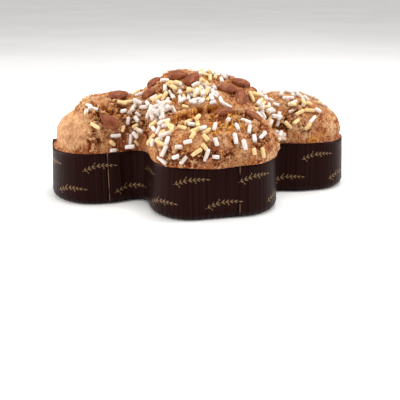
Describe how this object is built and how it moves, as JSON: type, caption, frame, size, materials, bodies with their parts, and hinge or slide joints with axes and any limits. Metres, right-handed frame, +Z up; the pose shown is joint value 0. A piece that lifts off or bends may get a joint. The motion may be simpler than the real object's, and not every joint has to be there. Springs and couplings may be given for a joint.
{
  "type": "colomba easter bread",
  "caption": "Dove-shaped sweet Easter loaf with a high domed crust, whole almonds and sugar sticks, standing in its fluted paper baking case.",
  "frame": {"origin": "on the surface that the case stands on, under the middle of the loaf's length and width", "axes": "+X from the dove's head to its tail, Y across the wings, +Z up"},
  "size_m": [0.3, 0.2222, 0.12],
  "materials": {
    "crust": "satin",
    "case_paper": "satin",
    "almond_skin": "satin",
    "sugar_white": "satin",
    "sugar_yellow": "satin",
    "gold_ink": "satin"
  },
  "bodies": {
    "root": {"bread": "crust", "paper_case": "case_paper", "almond_01": "almond_skin", "almond_02": "almond_skin", "almond_03": "almond_skin", "almond_04": "almond_skin", "almond_05": "almond_skin", "almond_06": "almond_skin", "almond_07": "almond_skin", "almond_08": "almond_skin", "almond_09": "almond_skin", "almond_10": "almond_skin", "almond_11": "almond_skin", "almond_12": "almond_skin", "almond_13": "almond_skin", "almond_14": "almond_skin", "almond_15": "almond_skin", "almond_16": "almond_skin", "almond_17": "almond_skin"}
  },
  "joints": []
}
